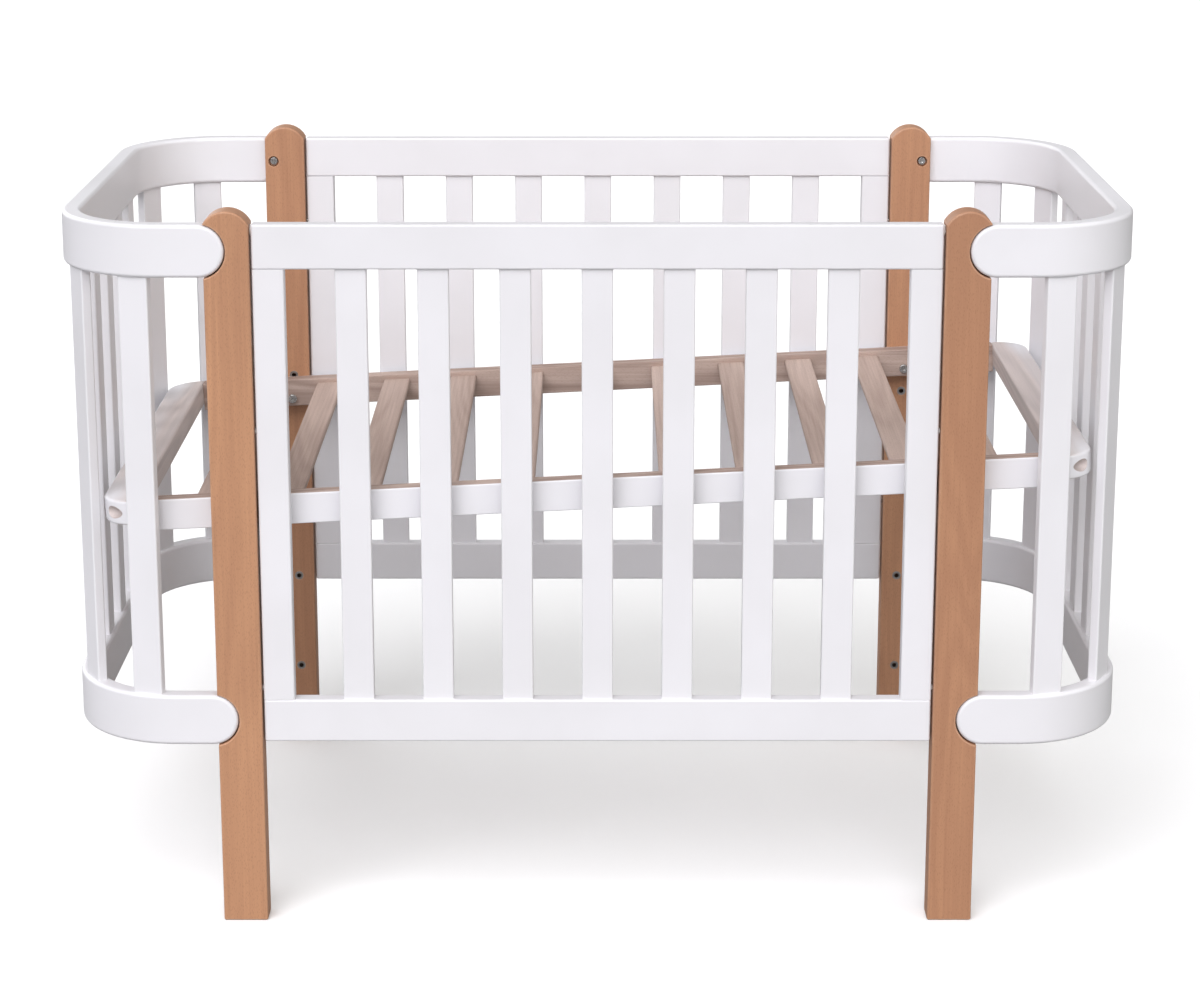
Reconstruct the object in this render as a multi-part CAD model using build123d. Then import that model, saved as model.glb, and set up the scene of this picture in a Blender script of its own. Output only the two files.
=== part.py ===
from build123d import *
import math
import os

# A baby crib with a drop side. Four beech posts carry white end rails bent to a U, a fixed back
# panel, a front panel that slides down between its posts, and a slatted mattress base bolted
# between the posts, here with its left end one hole lower than its right end.
# Millimetres. X is the long way, the front is at -Y, Z is up, and the feet stand on Z = 0.

# The crib as a whole
LENGTH = 1266.0
WIDTH = 664.0
HEIGHT = 871.0

# Posts
POST_WIDTH = 53.0
POST_DEPTH = 33.0
POST_OUTER_X = 451.8
POST_INNER_X = POST_OUTER_X - POST_WIDTH
POST_INNER_Y = WIDTH / 2 - POST_DEPTH
POST_ARCH_RADIUS = 30.0
POST_ROUND = 2.2
FOOT_CHAMFER = 1.5

# End rails, bent to a U with a round nose on each arm
RAIL_HEIGHT = 62.0
RAIL_DEPTH = 22.0
RAIL_ROUND = 4.5
CORNER_RADIUS = 130.0
UPPER_RAIL_Z = 824.5
LOWER_RAIL_Z = 256.5
NOSE_IN_POST = 24.5
NOSE_GAP = 1.3
POCKET_DROP = 0.5
POCKET_RADIUS = RAIL_HEIGHT / 2 + NOSE_GAP
POCKET_BEVEL = 1.0
NOSE_X = POST_OUTER_X - NOSE_IN_POST + RAIL_HEIGHT / 2

# Uprights: slats, stiles and their tenons
SLAT_WIDTH = 36.5
SLAT_DEPTH = 12.0
SLAT_ROUND = 2.0
SLAT_TENON = 26.0
STILE_TENON = 14.0
TENON_DEPTH = 8.0
TENON_LENGTH = 13.0
GLUE_GAP = 0.1

# End slats: a straight row, and two round each corner at these angles from the end
END_PITCH = 90.0
END_ROW = 5
CORNER_ANGLES = (31.0, 75.0)

# Front and back panels
PANEL_PITCH = 94.6
PANEL_SLATS = 7
PANEL_DEPTH = 20.0
PANEL_INSET = 5.0
PANEL_ROUND = 2.5
PANEL_RAIL_HEIGHT = 52.5
PANEL_TOP = 855.0
PANEL_BOTTOM = 228.0
PANEL_HALF = PANEL_PITCH * (PANEL_SLATS + 1) / 2 + SLAT_WIDTH / 2
PANEL_Y = WIDTH / 2 - PANEL_INSET - PANEL_DEPTH / 2
STILE_LOW = PANEL_BOTTOM + PANEL_RAIL_HEIGHT
STILE_HIGH = PANEL_TOP - PANEL_RAIL_HEIGHT

# Drop side: pins fixed in the posts run in a groove in each edge of the panel
PIN_HEIGHTS = (293.0, 609.0)
PIN_RADIUS = 3.5
PIN_IN_POST = 18.0
PIN_IN_GROOVE = 7.5
GROOVE_WIDTH = 8.0
GROOVE_DEPTH = 9.5
GROOVE_LOW = 285.0
GROOVE_HIGH = 838.0
GLIDE_RADIUS = 7.0
GLIDE_Z = 846.8
GLIDE_INSET = 6.0
GLIDE_PROUD = 1.8
GLIDE_ROUND = 1.4

# Mattress base, laid out flat about the line of its bolts and then tilted
BASE_HOLE_X = 420.0
BASE_HOLE_LEFT = 498.5
BASE_HOLE_RIGHT = 541.0
BASE_TILT = math.degrees(math.atan((BASE_HOLE_RIGHT - BASE_HOLE_LEFT) / (2 * BASE_HOLE_X)))
BASE_Z = (BASE_HOLE_LEFT + BASE_HOLE_RIGHT) / 2
BASE_BOLT_X = BASE_HOLE_X / math.cos(math.radians(BASE_TILT))
BEAM_HEIGHT = 37.0
BEAM_DEPTH = 22.0
BEAM_ROUND = 1.5
BEAM_TOP = 26.0
BEAM_HALF = 543.0
BEAM_OUTER_Y = POST_INNER_Y
BEAM_INNER_Y = BEAM_OUTER_Y - BEAM_DEPTH
END_BOARD_WIDTH = 45.0
END_BOARD_THICKNESS = 30.0
END_BOARD_CORNER = 43.0
END_BOARD_ROUND = 3.5
END_BOARD_Z = BEAM_TOP - END_BOARD_THICKNESS / 2
BASE_SLATS = 11
BASE_SLAT_PITCH = 92.0
BASE_SLAT_WIDTH = 36.0
BASE_SLAT_THICKNESS = 9.0
BASE_SLAT_SET_DOWN = 6.0
BASE_SLAT_HOUSING = 10.0
BASE_SLAT_ROUND = 3.0
BASE_SLAT_GAP = 0.3

# Spare base heights: the other hole of the upper pair on each side, and two lower ones
SPARE_HOLES = {-1: (526.0, 236.0, 103.0), 1: (503.5, 236.0, 103.0)}
USED_HOLE = {-1: BASE_HOLE_LEFT, 1: BASE_HOLE_RIGHT}

# Fasteners
BOLT_RADIUS = 3.0
BOLT_GAP = 0.3
HEX_RADIUS = 2.9
HEX_DEPTH = 3.0
HEAD_ROUND = 0.8
RAIL_BOLT_X = POST_OUTER_X - 11.5
RAIL_BOLT_LENGTH = 16.0
RAIL_BOLT_HEAD = (5.2, 4.5)
RAIL_BOLT_SINK = 7.0
RAIL_BOLT_BORE = 7.2
BASE_BOLT_LENGTH = 34.0
BASE_BOLT_HEAD = (6.0, 5.0)
END_BOLT_LENGTH = 55.0
END_BOLT_HEAD = (5.5, 6.0)
END_BOLT_BORE = 7.5
END_BOLT_WOOD = 12.0
PANEL_BOLT_HEIGHTS = (340.0, 740.0)
PANEL_BOLT_HEAD = (5.5, 5.5)
PANEL_BOLT_SINK = 7.0
PANEL_BOLT_BORE = 7.0
PANEL_BOLT_IN_STILE = 24.0
POST_INSERT_RADIUS = 6.0
POST_INSERT_LENGTH = 15.0
RAIL_INSERT_RADIUS = 4.5
RAIL_INSERT_LENGTH = 13.0

UPWARD = (Align.CENTER, Align.CENTER, Align.MIN)
SIDES = {"left": -1, "right": 1}
FACES = {"front": -1, "back": 1}


def block(low, high):
    """A box between two opposite corners."""
    size = [abs(b - a) for a, b in zip(low, high)]
    middle = [(a + b) / 2 for a, b in zip(low, high)]
    return Pos(*middle) * Box(*size)


def rod(start, end, radius):
    """A round bar between two points."""
    axis = Vector(end) - Vector(start)
    bar = Cylinder(radius, axis.length, align=UPWARD)
    return Plane(origin=start, z_dir=axis) * bar


def bolt(seat, direction, length, head):
    """A socket head bolt. Its head sits on the seat and its shank points along the direction."""
    radius, height = head
    cap = Pos(0, 0, -height) * Cylinder(radius, height, align=UPWARD)
    cap = fillet(cap.edges().sort_by(Axis.Z)[0], HEAD_ROUND)
    cap -= Pos(0, 0, -height) * extrude(RegularPolygon(HEX_RADIUS, 6), HEX_DEPTH)
    shank = Cylinder(BOLT_RADIUS, length, align=UPWARD)
    return Plane(origin=seat, z_dir=direction) * (cap + shank)


def insert(mouth, direction, radius, length):
    """A threaded insert, a sleeve whose open end lies flush at the mouth."""
    end = Vector(mouth) + Vector(direction) * length
    return rod(mouth, end, radius) - rod(mouth, end, BOLT_RADIUS + GLUE_GAP)


def upright(width, depth, low, high, tenon_width):
    """A slat or stile across X, with a tenon at each end."""
    body = block((-width / 2, -depth / 2, low), (width / 2, depth / 2, high))
    body = fillet(body.edges().filter_by(Axis.Z), SLAT_ROUND)
    tenon = block(
        (-tenon_width / 2, -TENON_DEPTH / 2, low - TENON_LENGTH),
        (tenon_width / 2, TENON_DEPTH / 2, high + TENON_LENGTH),
    )
    return body + tenon


def mortise(tenon_width, low, high):
    """The space that one end of a tenon takes, with a little room for glue."""
    return block(
        (-tenon_width / 2 - GLUE_GAP, -TENON_DEPTH / 2 - GLUE_GAP, low),
        (tenon_width / 2 + GLUE_GAP, TENON_DEPTH / 2 + GLUE_GAP, high),
    )


# Posts -----------------------------------------------------------------------------------------


def post_blank():
    """A plain post with an arched top, standing about the Z axis."""
    half = POST_WIDTH / 2
    shoulder = HEIGHT - POST_ARCH_RADIUS + math.sqrt(POST_ARCH_RADIUS**2 - half**2)
    outline = Polyline((half, shoulder), (half, 0), (-half, 0), (-half, shoulder))
    outline += ThreePointArc((-half, shoulder), (0, HEIGHT), (half, shoulder))
    blank = extrude(Plane.XZ * make_face(outline), POST_DEPTH / 2, both=True)
    feet, rest = [], []
    for edge in blank.edges():
        (feet if edge.center().Z < POST_ROUND else rest).append(edge)
    blank = fillet(rest, POST_ROUND)
    return chamfer(blank.faces().sort_by(Axis.Z)[0].edges(), FOOT_CHAMFER)


def post(side, face):
    """One post with its pockets, bolt holes and insert holes."""
    outside_y = face * WIDTH / 2
    inside_y = face * POST_INNER_Y
    body = Pos(side * (POST_OUTER_X - POST_WIDTH / 2), face * (WIDTH - POST_DEPTH) / 2) * post_blank()
    pocket_y = face * (WIDTH / 2 - RAIL_DEPTH)
    for z in (UPPER_RAIL_Z, LOWER_RAIL_Z):
        mouth = (side * NOSE_X, outside_y, z - POCKET_DROP)
        body -= rod(mouth, (mouth[0], pocket_y, mouth[2]), POCKET_RADIUS)
        bevel = Cone(POCKET_RADIUS + POCKET_BEVEL, POCKET_RADIUS, POCKET_BEVEL, align=UPWARD)
        body -= Plane(origin=mouth, z_dir=(0, -face, 0)) * bevel
        seat = (side * RAIL_BOLT_X, inside_y + face * RAIL_BOLT_SINK, z)
        body -= rod((side * RAIL_BOLT_X, inside_y, z), seat, RAIL_BOLT_BORE)
        body -= rod(seat, (side * RAIL_BOLT_X, pocket_y, z), BOLT_RADIUS + BOLT_GAP)
    for z in (USED_HOLE[side], *SPARE_HOLES[side]):
        mouth = (side * BASE_HOLE_X, inside_y, z)
        depth = (side * BASE_HOLE_X, inside_y + face * POST_INSERT_LENGTH, z)
        body -= rod(mouth, depth, POST_INSERT_RADIUS)
    if face == FACES["front"]:
        for z in PIN_HEIGHTS:
            start = (side * POST_INNER_X, face * PANEL_Y, z)
            body -= rod(start, (side * (POST_INNER_X + PIN_IN_POST), face * PANEL_Y, z), PIN_RADIUS)
    else:
        for z in PANEL_BOLT_HEIGHTS:
            seat = (side * (POST_OUTER_X - PANEL_BOLT_SINK), face * PANEL_Y, z)
            body -= rod((side * POST_OUTER_X, face * PANEL_Y, z), seat, PANEL_BOLT_BORE)
            body -= rod(seat, (side * POST_INNER_X, face * PANEL_Y, z), BOLT_RADIUS + BOLT_GAP)
    return body


# Bent end rails and their slats ----------------------------------------------------------------


def bent_rail(side, z, mortise_side):
    """A rail bent to a U, open towards the middle, with a round nose on each arm."""
    outer = RectangleRounded(LENGTH, WIDTH, CORNER_RADIUS)
    inner = RectangleRounded(
        LENGTH - 2 * RAIL_DEPTH, WIDTH - 2 * RAIL_DEPTH, CORNER_RADIUS - RAIL_DEPTH
    )
    low, high = z - RAIL_HEIGHT / 2, z + RAIL_HEIGHT / 2
    ring = Pos(0, 0, low) * extrude(outer - inner, RAIL_HEIGHT)
    arms = block((side * NOSE_X, -WIDTH, low), (side * LENGTH, WIDTH, high))
    noses = rod((side * NOSE_X, -WIDTH, z), (side * NOSE_X, WIDTH, z), RAIL_HEIGHT / 2)
    rail = ring & (arms + noses)
    rail = fillet(long_edges(rail, side), RAIL_ROUND)
    for place in end_slat_places(side):
        end = z + mortise_side * RAIL_HEIGHT / 2
        cut = mortise(SLAT_TENON, end, end - mortise_side * (TENON_LENGTH + 1))
        rail -= place * cut
    for face in FACES.values():
        mouth = (side * RAIL_BOLT_X, face * (WIDTH / 2 - RAIL_DEPTH), z)
        depth = (side * RAIL_BOLT_X, mouth[1] + face * (RAIL_INSERT_LENGTH + 1), z)
        rail -= rod(mouth, depth, RAIL_INSERT_RADIUS)
    return rail


def long_edges(rail, side):
    """The edges that run along the rail and round its noses, without the seams between them."""
    chosen = []
    for edge in rail.edges():
        size = edge.bounding_box().size
        upright_seam = size.X < 1 and size.Y < 1
        nose_seam = size.X < 1 and size.Z < 1 and abs(edge.center().X - side * NOSE_X) < 1
        if not upright_seam and not nose_seam:
            chosen.append(edge)
    return chosen


def end_slat_places(side):
    """Where the slats of one end stand, from the front to the back."""
    middle = CORNER_RADIUS - RAIL_DEPTH / 2
    corner_x, corner_y = LENGTH / 2 - CORNER_RADIUS, WIDTH / 2 - CORNER_RADIUS
    places = []
    for angle in sorted(-a for a in CORNER_ANGLES):
        places.append((corner_x, -corner_y, angle))
    places = [round_corner(x, y, middle, angle) for x, y, angle in places]
    row = [(n - (END_ROW - 1) / 2) * END_PITCH for n in range(END_ROW)]
    places += [(corner_x + middle, y, 0.0) for y in row]
    places += [round_corner(corner_x, corner_y, middle, angle) for angle in CORNER_ANGLES]
    return [Pos(side * x, y, 0) * Rot(0, 0, 90 + side * angle) for x, y, angle in places]


def round_corner(x, y, radius, angle):
    """The point at an angle round a corner, and that angle."""
    turn = math.radians(angle)
    return x + radius * math.cos(turn), y + radius * math.sin(turn), angle


# Front and back panels -------------------------------------------------------------------------


def panel_places():
    """X of every upright in a panel, the stiles first and last."""
    count = PANEL_SLATS + 2
    return [(n - (count - 1) / 2) * PANEL_PITCH for n in range(count)]


def panel_rail(face, low, mortise_low, mortise_high):
    """A straight rail with a mortise for every upright."""
    rail = block(
        (-PANEL_HALF, face * PANEL_Y - PANEL_DEPTH / 2, low),
        (PANEL_HALF, face * PANEL_Y + PANEL_DEPTH / 2, low + PANEL_RAIL_HEIGHT),
    )
    rail = fillet(rail.edges(), PANEL_ROUND)
    for x in panel_places():
        width = STILE_TENON if x in (panel_places()[0], panel_places()[-1]) else SLAT_TENON
        rail -= Pos(x, face * PANEL_Y) * mortise(width, mortise_low, mortise_high)
    return rail


def panel(face):
    """The rails, stiles and slats of one panel, by name."""
    pieces = {
        "top_rail": panel_rail(
            face, STILE_HIGH, STILE_HIGH, STILE_HIGH + TENON_LENGTH + 1
        ),
        "bottom_rail": panel_rail(
            face, PANEL_BOTTOM, STILE_LOW - TENON_LENGTH - 1, STILE_LOW
        ),
    }
    places = panel_places()
    for name, x in (("stile_left", places[0]), ("stile_right", places[-1])):
        stile = upright(SLAT_WIDTH, PANEL_DEPTH, STILE_LOW, STILE_HIGH, STILE_TENON)
        pieces[name] = Pos(x, face * PANEL_Y) * stile
    for number, x in enumerate(places[1:-1], start=1):
        slat = upright(SLAT_WIDTH, SLAT_DEPTH, STILE_LOW, STILE_HIGH, SLAT_TENON)
        pieces[f"slat_{number}"] = Pos(x, face * PANEL_Y) * slat
    return pieces


def drop_panel():
    """The front panel, with a groove in each edge for the posts' pins and a seat for its glides."""
    face = FACES["front"]
    pieces = panel(face)
    for name, side in SIDES.items():
        edge = side * PANEL_HALF
        groove = block(
            (edge - side * GROOVE_DEPTH, face * PANEL_Y - GROOVE_WIDTH / 2, GROOVE_LOW),
            (edge + side * GROOVE_DEPTH, face * PANEL_Y + GROOVE_WIDTH / 2, GROOVE_HIGH),
        )
        seat = rod(
            (edge - side * GLIDE_INSET, face * PANEL_Y, GLIDE_Z),
            (edge + side * GLIDE_INSET, face * PANEL_Y, GLIDE_Z),
            GLIDE_RADIUS,
        )
        pieces[f"stile_{name}"] -= groove
        pieces["top_rail"] -= groove
        pieces["top_rail"] -= seat
    return pieces


def back_panel():
    """The fixed back panel, with a hole in each stile for the bolts through the posts."""
    face = FACES["back"]
    pieces = panel(face)
    for name, side in SIDES.items():
        for z in PANEL_BOLT_HEIGHTS:
            start = (side * PANEL_HALF, face * PANEL_Y, z)
            end = (side * (PANEL_HALF - PANEL_BOLT_IN_STILE), face * PANEL_Y, z)
            pieces[f"stile_{name}"] -= rod(start, end, BOLT_RADIUS + GLUE_GAP)
    return pieces


def glide(side):
    """A low round button at one end of the drop side's top rail."""
    y = FACES["front"] * PANEL_Y
    tip = side * (PANEL_HALF + GLIDE_PROUD)
    button = rod((side * (PANEL_HALF - GLIDE_INSET), y, GLIDE_Z), (tip, y, GLIDE_Z), GLIDE_RADIUS)
    rim = button.edges().filter_by(GeomType.CIRCLE).sort_by(Axis.X)[0 if side < 0 else -1]
    return fillet(rim, GLIDE_ROUND)


# Mattress base ---------------------------------------------------------------------------------


def tilted(part):
    """Carries a piece of the base from its flat layout to its place between the posts."""
    return Pos(0, 0, BASE_Z) * Rot(0, -BASE_TILT, 0) * part


def base_slat_places():
    """X of every cross slat."""
    return [(n - (BASE_SLATS - 1) / 2) * BASE_SLAT_PITCH for n in range(BASE_SLATS)]


def base_slat(x):
    """A cross slat, housed in both beams."""
    top = BEAM_TOP - BASE_SLAT_SET_DOWN
    reach = BEAM_INNER_Y + BASE_SLAT_HOUSING
    slat = block(
        (x - BASE_SLAT_WIDTH / 2, -reach, top - BASE_SLAT_THICKNESS),
        (x + BASE_SLAT_WIDTH / 2, reach, top),
    )
    return fillet(slat.edges().filter_by(Axis.Y), BASE_SLAT_ROUND)


def beam(face):
    """A long beam with a housing for every slat, and its bolt holes."""
    inner, outer = face * BEAM_INNER_Y, face * BEAM_OUTER_Y
    body = block((-BEAM_HALF, inner, BEAM_TOP - BEAM_HEIGHT), (BEAM_HALF, outer, BEAM_TOP))
    body = fillet(body.edges().filter_by(Axis.X), BEAM_ROUND)
    slat_z = BEAM_TOP - BASE_SLAT_SET_DOWN - BASE_SLAT_THICKNESS / 2
    slot = RectangleRounded(
        BASE_SLAT_WIDTH + 2 * BASE_SLAT_GAP, BASE_SLAT_THICKNESS, BASE_SLAT_ROUND
    )
    for x in base_slat_places():
        plane = Plane(origin=(x, inner, slat_z), x_dir=(1, 0, 0), z_dir=(0, face, 0))
        body -= extrude(plane * slot, BASE_SLAT_HOUSING + 0.5)
    for side in SIDES.values():
        x = side * BASE_BOLT_X
        body -= rod((x, inner, 0), (x, outer, 0), BOLT_RADIUS + BOLT_GAP)
        y = face * (BEAM_OUTER_Y - BEAM_DEPTH / 2)
        tip = side * (BEAM_HALF + END_BOLT_WOOD - END_BOLT_LENGTH)
        start, end = (side * BEAM_HALF, y, END_BOARD_Z), (tip, y, END_BOARD_Z)
        body -= rod(start, end, BOLT_RADIUS + GLUE_GAP)
    return body


def end_board(side):
    """The board across one end of the base, with round outer corners and sunk bolt holes."""
    inner, outer = side * BEAM_HALF, side * (BEAM_HALF + END_BOARD_WIDTH)
    board = block(
        (inner, -BEAM_OUTER_Y, BEAM_TOP - END_BOARD_THICKNESS), (outer, BEAM_OUTER_Y, BEAM_TOP)
    )
    corners = [e for e in board.edges().filter_by(Axis.Z) if abs(e.center().X) > abs(inner) + 1]
    board = fillet(corners, END_BOARD_CORNER)
    board = fillet([e for e in board.edges() if e.bounding_box().size.Z < 1], END_BOARD_ROUND)
    for face in FACES.values():
        y = face * (BEAM_OUTER_Y - BEAM_DEPTH / 2)
        seat = (inner + side * END_BOLT_WOOD, y, END_BOARD_Z)
        board -= rod(seat, (outer, y, END_BOARD_Z), END_BOLT_BORE)
        board -= rod(seat, (inner, y, END_BOARD_Z), BOLT_RADIUS + BOLT_GAP)
    return board


# Fasteners -------------------------------------------------------------------------------------


def rail_bolts():
    """One bolt through each post into each end rail's nose."""
    bolts = []
    for side in SIDES.values():
        for face in FACES.values():
            for z in (UPPER_RAIL_Z, LOWER_RAIL_Z):
                seat = (side * RAIL_BOLT_X, face * (POST_INNER_Y + RAIL_BOLT_SINK), z)
                bolts.append(bolt(seat, (0, face, 0), RAIL_BOLT_LENGTH, RAIL_BOLT_HEAD))
    return bolts


def base_bolts():
    """One bolt through each end of each beam into its post."""
    bolts = []
    for side in SIDES.values():
        for face in FACES.values():
            seat = (side * BASE_HOLE_X, face * BEAM_INNER_Y, USED_HOLE[side])
            bolts.append(bolt(seat, (0, face, 0), BASE_BOLT_LENGTH, BASE_BOLT_HEAD))
    return bolts


def end_board_bolts():
    """One bolt through each corner of the end boards into the end of a beam."""
    bolts = []
    for side in SIDES.values():
        for face in FACES.values():
            y = face * (BEAM_OUTER_Y - BEAM_DEPTH / 2)
            seat = (side * (BEAM_HALF + END_BOLT_WOOD), y, END_BOARD_Z)
            bolts.append(tilted(bolt(seat, (-side, 0, 0), END_BOLT_LENGTH, END_BOLT_HEAD)))
    return bolts


def back_panel_bolts():
    """Two bolts through each back post into the back panel's stile."""
    bolts = []
    length = POST_WIDTH - PANEL_BOLT_SINK + POST_INNER_X - PANEL_HALF + PANEL_BOLT_IN_STILE
    for side in SIDES.values():
        for z in PANEL_BOLT_HEIGHTS:
            seat = (side * (POST_OUTER_X - PANEL_BOLT_SINK), FACES["back"] * PANEL_Y, z)
            bolts.append(bolt(seat, (-side, 0, 0), length, PANEL_BOLT_HEAD))
    return bolts


def threaded_inserts():
    """The inserts in the posts for the base, and in the rails' noses for the rail bolts."""
    inserts = []
    for side in SIDES.values():
        for face in FACES.values():
            for z in (USED_HOLE[side], *SPARE_HOLES[side]):
                mouth = (side * BASE_HOLE_X, face * POST_INNER_Y, z)
                inserts.append(insert(mouth, (0, face, 0), POST_INSERT_RADIUS, POST_INSERT_LENGTH))
            for z in (UPPER_RAIL_Z, LOWER_RAIL_Z):
                mouth = (side * RAIL_BOLT_X, face * (WIDTH / 2 - RAIL_DEPTH), z)
                inserts.append(insert(mouth, (0, face, 0), RAIL_INSERT_RADIUS, RAIL_INSERT_LENGTH))
    return inserts


def guide_pins():
    """The pins in the front posts that the drop side runs on."""
    pins = []
    for side in SIDES.values():
        for z in PIN_HEIGHTS:
            y = FACES["front"] * PANEL_Y
            start = (side * (POST_INNER_X + PIN_IN_POST), y, z)
            pins.append(rod(start, (side * (PANEL_HALF - PIN_IN_GROOVE), y, z), PIN_RADIUS))
    return pins


# The whole crib --------------------------------------------------------------------------------


def crib():
    """Every piece by the name of its node, as a list of solids."""
    nodes = {}
    for side_name, side in SIDES.items():
        for face_name, face in FACES.items():
            nodes[f"post_{face_name}_{side_name}"] = [post(side, face)]
        nodes[f"upper_end_rail_{side_name}"] = [bent_rail(side, UPPER_RAIL_Z, -1)]
        nodes[f"lower_end_rail_{side_name}"] = [bent_rail(side, LOWER_RAIL_Z, 1)]
        low, high = LOWER_RAIL_Z + RAIL_HEIGHT / 2, UPPER_RAIL_Z - RAIL_HEIGHT / 2
        slat = upright(SLAT_WIDTH, SLAT_DEPTH, low, high, SLAT_TENON)
        for number, place in enumerate(end_slat_places(side), start=1):
            nodes[f"end_slat_{side_name}_{number}"] = [place * slat]
        nodes[f"base_end_board_{side_name}"] = [tilted(end_board(side))]
    for name, piece in back_panel().items():
        nodes[f"back_{name}"] = [piece]
    for name, piece in drop_panel().items():
        nodes[f"drop_{name}"] = [piece]
    for face_name, face in FACES.items():
        nodes[f"base_beam_{face_name}"] = [tilted(beam(face))]
    nodes["base_cross_slats"] = [tilted(base_slat(x)) for x in base_slat_places()]
    nodes["rail_bolts"] = rail_bolts()
    nodes["base_bolts"] = base_bolts()
    nodes["end_board_bolts"] = end_board_bolts()
    nodes["back_panel_bolts"] = back_panel_bolts()
    nodes["threaded_inserts"] = threaded_inserts()
    nodes["drop_guide_pins"] = guide_pins()
    nodes["drop_glides"] = [glide(side) for side in SIDES.values()]
    return nodes


os.makedirs("parts", exist_ok=True)
for node, pieces in crib().items():
    solids = [solid for piece in pieces for solid in piece.solids()]
    shape = solids[0] if len(solids) == 1 else Compound(solids)
    export_step(shape, f"parts/{node}.step")
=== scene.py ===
import math

import bpy
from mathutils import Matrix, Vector


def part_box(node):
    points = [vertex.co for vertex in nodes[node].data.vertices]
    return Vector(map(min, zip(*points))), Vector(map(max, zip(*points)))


# The looks of a baby crib: oiled beech posts, white lacquered rails and slats, a base of raw and
# painted beech, and zinc plated fasteners. Metres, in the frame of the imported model.

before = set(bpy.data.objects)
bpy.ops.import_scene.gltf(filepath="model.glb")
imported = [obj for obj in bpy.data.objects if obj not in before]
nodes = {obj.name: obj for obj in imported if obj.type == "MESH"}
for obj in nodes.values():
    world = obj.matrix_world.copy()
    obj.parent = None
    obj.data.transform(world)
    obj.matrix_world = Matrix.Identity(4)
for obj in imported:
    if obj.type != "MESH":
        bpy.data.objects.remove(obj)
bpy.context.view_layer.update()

# Camera
CAMERA_PLACE = (0.003, -3.534, 1.459)
CAMERA_PITCH = 13.6
CAMERA_LENS = 85.6
CAMERA_SHIFT = -0.1

# Light: broad soft lamps in a white room. A lamp's brightness is how bright it makes a white surface
# that faces it. The room and the floor look white, but send back less light than they show, and the
# floor's glow is seen by the camera only.
ROOM_SEEN = 1.0
ROOM_LIGHT = 0.32
FLOOR_SIZE = 400.0
FLOOR_SEEN = (1, 1, 1, 1)
FLOOR_BOUNCE = (0.32, 0.32, 0.32, 1)
FLOOR_GLOW = 0.05
LAMPS = {
    "key": {"from": (-0.36, -1.0, 0.88), "brightness": 0.88, "spread": 56, "colour": (0.97, 0.965, 1.0)},
    "fill": {"from": (1.0, -0.9, 0.5), "brightness": 0.33, "spread": 70, "colour": (1.0, 0.985, 0.93)},
    "back": {"from": (-0.9, 0.9, 0.4), "brightness": 0.37, "spread": 60, "colour": (1.0, 1.0, 1.0)},
    "top": {"from": (0.0, 0.5, 1.0), "brightness": 0.05, "spread": 60, "colour": (1.0, 1.0, 1.0)},
}

# Colours, linear, and the least and greatest roughness of raw wood
BEECH_LIGHT = (0.56, 0.294, 0.163, 1)
BEECH_DARK = (0.41, 0.202, 0.112, 1)
BEECH_FLECK = (0.25, 0.115, 0.06, 1)
# Painted highlight colour for the rounded edges of the posts
BEECH_EDGE_HIGHLIGHT = (0.80, 0.52, 0.36, 1)
RAW_LIGHT = (0.59, 0.455, 0.395, 1)
RAW_DARK = (0.32, 0.228, 0.190, 1)
RAW_FLECK = (0.30, 0.21, 0.17, 1)
RAW_ROUGHNESS = (0.62, 0.76)
WHITE_LIGHT = (0.80, 0.79, 0.82, 1)
WHITE_DARK = (0.77, 0.76, 0.785, 1)
# Painted highlight colour for the rounded edges of the lacquer
WHITE_EDGE_HIGHLIGHT = (0.83, 0.825, 0.83, 1)
NYLON_LIGHT = (0.86, 0.85, 0.83, 1)
NYLON_DARK = (0.80, 0.79, 0.77, 1)
ZINC = (0.62, 0.62, 0.61, 1)
TURNED_STEEL = (0.46, 0.45, 0.43, 1)
METAL_DULL = 0.72

# How much darker each post is than the lightest: partly because they are cut from different boards, and
# partly painted shade for the less lit posts
POST_TONE_AND_PAINTED_SHADE = {
    "post_front_left": 0.0,
    "post_front_right": 0.15,
    "post_back_left": 0.13,
    "post_back_right": 0.09,
}

# Grain runs along one axis. Texture scales per metre, across and along it
STREAKS_ACROSS = 320.0
STREAKS_ALONG = 5.0
FLECKS_ACROSS = 760.0
FLECKS_ALONG = 200.0
FIGURE_ACROSS = 17.0
FIGURE_ALONG = 1.5
FIGURE_TURNS = 75.0
BOARD_SCALE = 2.3

# How much each pattern adds to the tone of wood, and the tones that show as light and as dark
STREAK_TONE = 0.40
FIELD_TONE = 0.40
BOARD_TONE = 0.35
POST_RINGS = 0.045
BEAM_RINGS = 0.09
BEAM_SHADE = 0.15
SLAT_RINGS = 0.03
LIGHT_TONE = 0.38
DARK_TONE = 0.78
FLECK_STRENGTH = 0.40

# Fibres that show through the lacquer, upright and lying, as texture scales per metre
FIBRES_UPRIGHT = (420.0, 420.0, 9.0)
FIBRES_LYING = (9.0, 9.0, 420.0)

# The paint on the base. The beams have it on their outer faces only, up to this far round the arris
BEAM_LOW, BEAM_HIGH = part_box("base_beam_back")
ARRIS_PAINTED = 0.0019
ARRIS_BARE = 0.0024
ARRIS_WANDER = 0.0012

# The spray over the top of an end board: where it starts and is full, outward from the inner face, and
# how far that drifts. Its middle part, up to this far from the middle, has only a share of the paint.
# The mist is the least that lies anywhere on the board, and a hole gets a share of what is round it.
PAINT_START = 0.004
PAINT_FULL = 0.040
PAINT_DRIFT = 0.016
PAINT_THIN = 0.55
PAINT_THIN_TO = 0.18
PAINT_THICK_FROM = 0.27
PAINT_MIST = 0.38
PAINT_IN_HOLE = 0.4

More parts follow.
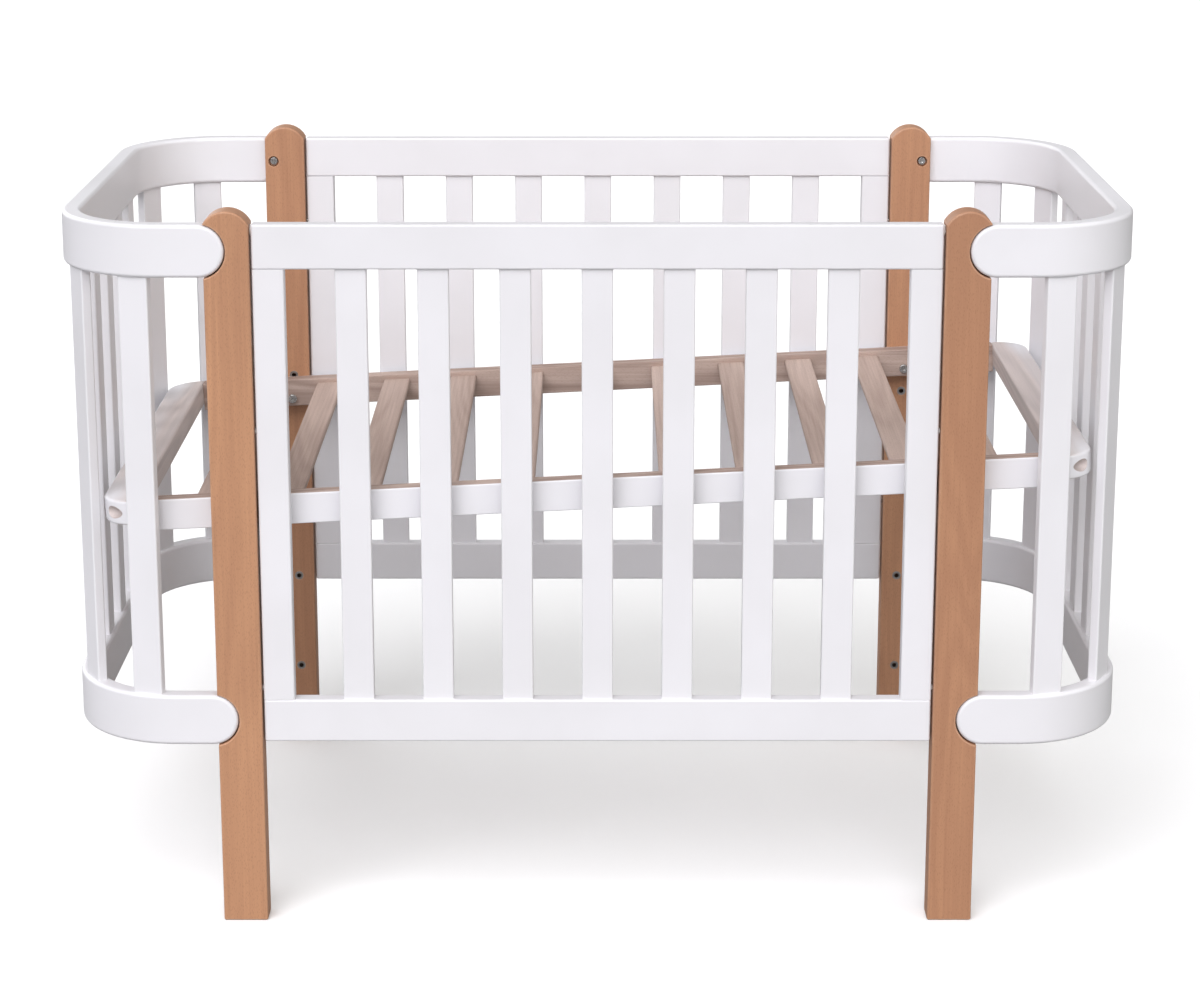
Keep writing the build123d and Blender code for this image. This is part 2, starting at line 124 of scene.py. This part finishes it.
# The bolt holes in the end boards, in line with the beams
BOLT_HOLE_Y = (BEAM_LOW.y + BEAM_HIGH.y) / 2
BOLT_HOLE_RADIUS = 0.0075
BOLT_HOLE_BLEND = 0.0003

# How well the smoothed normal agrees with the true one on a flat face, and on a rounded edge
EDGE_FLAT = 0.999
EDGE_ROUND = 0.93


class Shader:
    """A material's node tree, with short calls for adding nodes and joining them."""

    def __init__(self, name):
        self.material = bpy.data.materials.new(name)
        self.material.use_nodes = True
        self.tree = self.material.node_tree
        self.tree.nodes.clear()
        self.surface = self.add("ShaderNodeBsdfPrincipled")
        output = self.add("ShaderNodeOutputMaterial")
        self.tree.links.new(self.surface.outputs[0], output.inputs[0])
        self.place = self.add("ShaderNodeTexCoord").outputs["Object"]

    def add(self, kind, sockets=None, **settings):
        node = self.tree.nodes.new(kind)
        for key, value in settings.items():
            setattr(node, key, value)
        for key, value in (sockets or {}).items():
            self.put(node.inputs[key], value)
        return node

    def put(self, socket, value):
        if isinstance(value, bpy.types.NodeSocket):
            self.tree.links.new(value, socket)
        else:
            socket.default_value = value

    def set(self, **sockets):
        for key, value in sockets.items():
            self.put(self.surface.inputs[key.replace("_", " ")], value)

    def math(self, operation, a, b=0.0, c=0.0):
        return self.add("ShaderNodeMath", {0: a, 1: b, 2: c}, operation=operation).outputs[0]

    def stretch(self, scale):
        return self.add("ShaderNodeMapping", {"Vector": self.place, "Scale": scale}).outputs[0]

    def noise(self, vector, scale=1.0, detail=3.0, roughness=0.5):
        sockets = {"Vector": vector, "Scale": scale, "Detail": detail, "Roughness": roughness}
        return self.add("ShaderNodeTexNoise", sockets).outputs[0]

    def spread(self, value, low, high, to_low=0.0, to_high=1.0):
        sockets = {0: value, 1: low, 2: high, 3: to_low, 4: to_high}
        return self.add("ShaderNodeMapRange", sockets, clamp=True).outputs[0]

    def mix(self, factor, a, b):
        node = self.add("ShaderNodeMix", data_type="RGBA")
        self.put(node.inputs[0], factor)
        self.put(node.inputs[6], a)
        self.put(node.inputs[7], b)
        return node.outputs[2]

    def bump(self, height, strength, distance, normal=None):
        sockets = {"Height": height, "Strength": strength, "Distance": distance}
        if normal is not None:
            sockets["Normal"] = normal
        return self.add("ShaderNodeBump", sockets).outputs[0]

    def edges(self, radius):
        """One on rounded edges, nought on flat faces."""
        rounded = self.add("ShaderNodeBevel", {"Radius": radius}, samples=4).outputs[0]
        flat = self.add("ShaderNodeNewGeometry").outputs["Normal"]
        along = self.add("ShaderNodeVectorMath", {0: rounded, 1: flat}, operation="DOT_PRODUCT")
        return self.spread(along.outputs["Value"], EDGE_FLAT, EDGE_ROUND)


def along_axis(axis, across, along):
    """Texture scales that stretch a pattern along one axis."""
    return tuple(along if name == axis else across for name in "XYZ")


def wood_grain(shader, axis, light, dark, fleck, rings, shade=0.0):
    """The colour, fibre height and tone of planed beech, with its grain along an axis.

    Rings says how strongly its growth rings show, and shade how much darker it is.
    """
    streaks = shader.noise(
        shader.stretch(along_axis(axis, STREAKS_ACROSS, STREAKS_ALONG)), detail=5, roughness=0.65
    )
    field = shader.noise(
        shader.stretch(along_axis(axis, FIGURE_ACROSS, FIGURE_ALONG)), detail=1, roughness=0.3
    )
    figure = shader.math("SINE", shader.math("MULTIPLY", field, FIGURE_TURNS))
    board = shader.noise(shader.place, scale=BOARD_SCALE, detail=1)
    tone = shader.math("MULTIPLY", field, FIELD_TONE)
    tone = shader.math("MULTIPLY_ADD", streaks, STREAK_TONE, tone)
    tone = shader.math("MULTIPLY_ADD", figure, rings, tone)
    tone = shader.math("MULTIPLY_ADD", board, BOARD_TONE, tone)
    tone = shader.spread(tone, LIGHT_TONE - shade, DARK_TONE - shade)
    colour = shader.mix(tone, light, dark)
    cells = shader.add(
        "ShaderNodeTexVoronoi",
        {"Vector": shader.stretch(along_axis(axis, FLECKS_ACROSS, FLECKS_ALONG)), "Scale": 1.0},
    ).outputs["Distance"]
    flecks = shader.spread(cells, 0.36, 0.14, 0.0, FLECK_STRENGTH)
    colour = shader.mix(flecks, colour, fleck)
    height = shader.math("SUBTRACT", streaks, shader.math("MULTIPLY", flecks, 0.6))
    return colour, height, tone


def oiled_beech(name, shade):
    """Warm beech with a satin finish, and a painted highlight on its rounded edges."""
    s = Shader(name)
    colour, height, tone = wood_grain(s, "Z", BEECH_LIGHT, BEECH_DARK, BEECH_FLECK, POST_RINGS, shade)
    # Painted highlight: the rounded edges, broken up by noise, are mixed towards a lighter colour for the
    # light they catch
    edge_highlight = s.math("MULTIPLY", s.edges(0.0022), s.spread(s.noise(s.place, scale=45, detail=4), 0.2, 0.7))
    colour = s.mix(s.math("MULTIPLY", edge_highlight, 0.6), colour, BEECH_EDGE_HIGHLIGHT)
    s.set(
        Base_Color=colour,
        Roughness=s.spread(tone, 0.0, 1.0, 0.36, 0.48),
        Specular_IOR_Level=0.5,
        Normal=s.bump(height, 0.20, 0.0004),
    )
    return s.material


def white_paint(shader):
    """The colour of the lacquer, and the faint clouds in it."""
    cloud = shader.noise(shader.place, scale=7, detail=3)
    return shader.mix(shader.spread(cloud, 0.35, 0.65), WHITE_DARK, WHITE_LIGHT), cloud


def white_lacquer(name, fibre_scale):
    """Sprayed satin lacquer: faint orange peel over wood whose grain just shows through, and a painted
    highlight on its rounded edges.
    """
    s = Shader(name)
    fibres = s.noise(s.stretch(fibre_scale), detail=4, roughness=0.6)
    peel = s.noise(s.place, scale=520, detail=2)
    paint, cloud = white_paint(s)
    # Painted highlight: the rounded edges are mixed towards a lighter white
    colour = s.mix(s.math("MULTIPLY", s.edges(0.002), 0.5), paint, WHITE_EDGE_HIGHLIGHT)
    soft = s.bump(peel, 0.05, 0.0006)
    s.set(
        Base_Color=colour,
        Roughness=s.spread(cloud, 0.3, 0.7, 0.30, 0.40),
        Specular_IOR_Level=0.5,
        Coat_Weight=0.15,
        Coat_Roughness=0.25,
        Normal=s.bump(fibres, 0.035, 0.0004, soft),
    )
    return s.material


def raw_beech(name, axis):
    """Planed beech with no finish: pale, dry and a little uneven from board to board."""
    s = Shader(name)
    colour, height, tone = wood_grain(s, axis, RAW_LIGHT, RAW_DARK, RAW_FLECK, SLAT_RINGS)
    s.set(
        Base_Color=colour,
        Roughness=s.spread(tone, 0.0, 1.0, *RAW_ROUGHNESS),
        Specular_IOR_Level=0.3,
        Normal=s.bump(height, 0.35, 0.0005),
    )
    return s.material


def part_painted(name, axis, painted, shade=0.0):
    """Beech with white lacquer on its outside. painted(shader) says how much of it covers, from 0 to 1."""
    s = Shader(name)
    wood, height, tone = wood_grain(s, axis, RAW_LIGHT, RAW_DARK, RAW_FLECK, BEAM_RINGS, shade)
    cover = painted(s)
    paint, _ = white_paint(s)
    bare = s.math("SUBTRACT", 1.0, cover)
    dry = s.spread(tone, 0.0, 1.0, *RAW_ROUGHNESS)
    rough = s.math("ADD", s.math("MULTIPLY", cover, 0.35), s.math("MULTIPLY", bare, dry))
    relief = s.math("MULTIPLY_ADD", bare, 0.85, 0.15)
    s.set(
        Base_Color=s.mix(cover, wood, paint),
        Roughness=rough,
        Specular_IOR_Level=0.42,
        Normal=s.bump(s.math("MULTIPLY", height, relief), 0.35, 0.0005),
    )
    return s.material


def beam_paint(s):
    """Paint on a beam's outer face, with a slightly wandering line along its arris."""
    y = s.add("ShaderNodeSeparateXYZ", {0: s.place}).outputs["Y"]
    wander = s.math("MULTIPLY", s.noise(s.place, scale=60, detail=2), ARRIS_WANDER)
    depth = s.math("SUBTRACT", BEAM_HIGH.y, s.math("ABSOLUTE", y))
    depth = s.math("ADD", depth, wander)
    return s.spread(depth, ARRIS_BARE, ARRIS_PAINTED)


def end_board_paint(s):
    """Paint on an end board: full outside, fading over its top, thin on its inner face and in its holes."""
    left_low, left_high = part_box("base_end_board_left")
    right_low, right_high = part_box("base_end_board_right")
    left, right = (left_low + left_high) / 2, (right_low + right_high) / 2
    place = s.add("ShaderNodeSeparateXYZ", {0: s.place})
    normal = s.add("ShaderNodeTexCoord").outputs["Normal"]
    facing = s.add("ShaderNodeSeparateXYZ", {0: normal})
    outward = s.math("MULTIPLY", facing.outputs["X"], s.math("SIGN", place.outputs["X"]))
    away = s.math("ABSOLUTE", place.outputs["X"])
    drift = s.math("MULTIPLY", s.noise(s.stretch((30, 9, 30)), detail=3), PAINT_DRIFT)
    fade = s.spread(s.math("ADD", away, drift), right_low.x + PAINT_START, right_low.x + PAINT_FULL)
    sideways = s.spread(s.math("ABSOLUTE", facing.outputs["Y"]), 0.3, 0.8)
    near_end = s.spread(s.math("ABSOLUTE", place.outputs["Y"]), PAINT_THIN_TO, PAINT_THICK_FROM)
    fade = s.math("MULTIPLY", fade, s.math("MULTIPLY_ADD", near_end, 1 - PAINT_THIN, PAINT_THIN))
    covered = s.math("MAXIMUM", fade, s.math("MAXIMUM", sideways, s.spread(outward, 0.2, 0.6)))
    covered = s.math("MAXIMUM", covered, PAINT_MIST)
    slope = (right.z - left.z) / (right.x - left.x)
    level = s.math("MULTIPLY_ADD", place.outputs["X"], -slope, place.outputs["Z"])
    up = s.math("SUBTRACT", level, (left.z + right.z) / 2)
    aside = s.math("SUBTRACT", s.math("ABSOLUTE", place.outputs["Y"]), BOLT_HOLE_Y)
    reach = s.math("SQRT", s.math("ADD", s.math("MULTIPLY", up, up), s.math("MULTIPLY", aside, aside)))
    edge = BOLT_HOLE_RADIUS + BOLT_HOLE_BLEND
    return s.math("MULTIPLY", covered, s.spread(reach, BOLT_HOLE_RADIUS, edge, PAINT_IN_HOLE, 1.0))


def metal(name, colour, roughness):
    """Plated or turned steel with a fine uneven sheen."""
    s = Shader(name)
    fine = s.noise(s.place, scale=900, detail=3)
    cloud = s.noise(s.place, scale=160, detail=2)
    dull = tuple(c * METAL_DULL for c in colour[:3]) + (1,)
    s.set(
        Base_Color=s.mix(s.spread(cloud, 0.35, 0.7), colour, dull),
        Metallic=1.0,
        Roughness=s.spread(fine, 0.3, 0.7, roughness - 0.07, roughness + 0.09),
        Normal=s.bump(fine, 0.06, 0.0002),
    )
    return s.material


def nylon():
    """White moulded nylon, a little warmer than the lacquer."""
    s = Shader("white_nylon")
    cloud = s.noise(s.place, scale=220, detail=2)
    s.set(
        Base_Color=s.mix(cloud, NYLON_LIGHT, NYLON_DARK),
        Roughness=s.spread(cloud, 0.3, 0.7, 0.34, 0.44),
        Subsurface_Weight=0.1,
        Subsurface_Radius=(0.002, 0.002, 0.002),
        Normal=s.bump(cloud, 0.03, 0.0003),
    )
    return s.material


def dress():
    """Gives every CAD node its material."""
    standing = white_lacquer("white_lacquer_upright", FIBRES_UPRIGHT)
    lying = white_lacquer("white_lacquer_rail", FIBRES_LYING)
    materials = {
        "base_beam": part_painted("beam_half_painted", "X", beam_paint, BEAM_SHADE),
        "base_end_board": part_painted("end_board_painted", "Y", end_board_paint),
        "base_cross_slats": raw_beech("raw_beech_slat", "Y"),
        "threaded_inserts": metal("insert_steel_turned", TURNED_STEEL, 0.34),
    }
    zinc = metal("zinc_plated_steel", ZINC, 0.24)
    for name in ("rail_bolts", "base_bolts", "end_board_bolts", "back_panel_bolts"):
        materials[name] = zinc
    # Each post's darkening is partly its board's tone and partly painted shade
    for name, shade in POST_TONE_AND_PAINTED_SHADE.items():
        materials[name] = oiled_beech(f"oiled_beech_{name}", shade)
    white_nylon = nylon()
    for name in ("drop_glides", "drop_guide_pins"):
        materials[name] = white_nylon
    for name, node in nodes.items():
        chosen = lying if "rail" in name else standing
        for start, material in materials.items():
            if name.startswith(start):
                chosen = material
        for slot in node.material_slots:
            slot.material = chosen


def floor():
    """A wide pale floor that runs out of sight."""
    half = FLOOR_SIZE / 2
    mesh = bpy.data.meshes.new("floor")
    corners = [(-half, -half, 0), (half, -half, 0), (half, half, 0), (-half, half, 0)]
    mesh.from_pydata(corners, [], [(0, 1, 2, 3)])
    plane = bpy.data.objects.new("floor", mesh)
    bpy.context.collection.objects.link(plane)
    s = Shader("floor_paint")
    seen = s.add("ShaderNodeLightPath").outputs["Is Camera Ray"]
    s.set(
        Base_Color=s.mix(seen, FLOOR_BOUNCE, FLOOR_SEEN),
        Roughness=0.8,
        Specular_IOR_Level=0.0,
        Emission_Color=FLOOR_SEEN,
        Emission_Strength=s.math("MULTIPLY", seen, FLOOR_GLOW),
    )
    mesh.materials.append(s.material)


def lamp(name, setting):
    """A broad, far lamp that shines from one direction and lights the whole floor evenly."""
    light = bpy.data.lights.new(name, "SUN")
    light.energy = setting["brightness"] * math.pi
    light.angle = math.radians(setting["spread"])
    light.color = setting["colour"]
    holder = bpy.data.objects.new(name, light)
    bpy.context.collection.objects.link(holder)
    holder.rotation_euler = Vector(setting["from"]).to_track_quat("Z", "Y").to_euler()


def room():
    """A white room all round."""
    world = bpy.data.worlds.new("studio")
    world.use_nodes = True
    tree = world.node_tree
    background = tree.nodes["Background"]
    background.inputs["Color"].default_value = (1, 1, 1, 1)
    seen = tree.nodes.new("ShaderNodeLightPath").outputs["Is Camera Ray"]
    strength = tree.nodes.new("ShaderNodeMapRange")
    strength.inputs["To Min"].default_value = ROOM_LIGHT
    strength.inputs["To Max"].default_value = ROOM_SEEN
    tree.links.new(seen, strength.inputs["Value"])
    tree.links.new(strength.outputs[0], background.inputs["Strength"])
    bpy.context.scene.world = world


def studio():
    """The room and its lamps."""
    room()
    for name, setting in LAMPS.items():
        lamp(name, setting)


def camera():
    """The photographer's place: in front, a little above, looking slightly down."""
    data = bpy.data.cameras.new("camera")
    data.lens = CAMERA_LENS
    data.shift_y = CAMERA_SHIFT
    eye = bpy.data.objects.new("camera", data)
    bpy.context.collection.objects.link(eye)
    eye.location = CAMERA_PLACE
    eye.rotation_euler = (math.radians(90 - CAMERA_PITCH), 0, 0)
    bpy.context.scene.camera = eye


bpy.context.scene.view_settings.view_transform = "Standard"
dress()
floor()
studio()
camera()
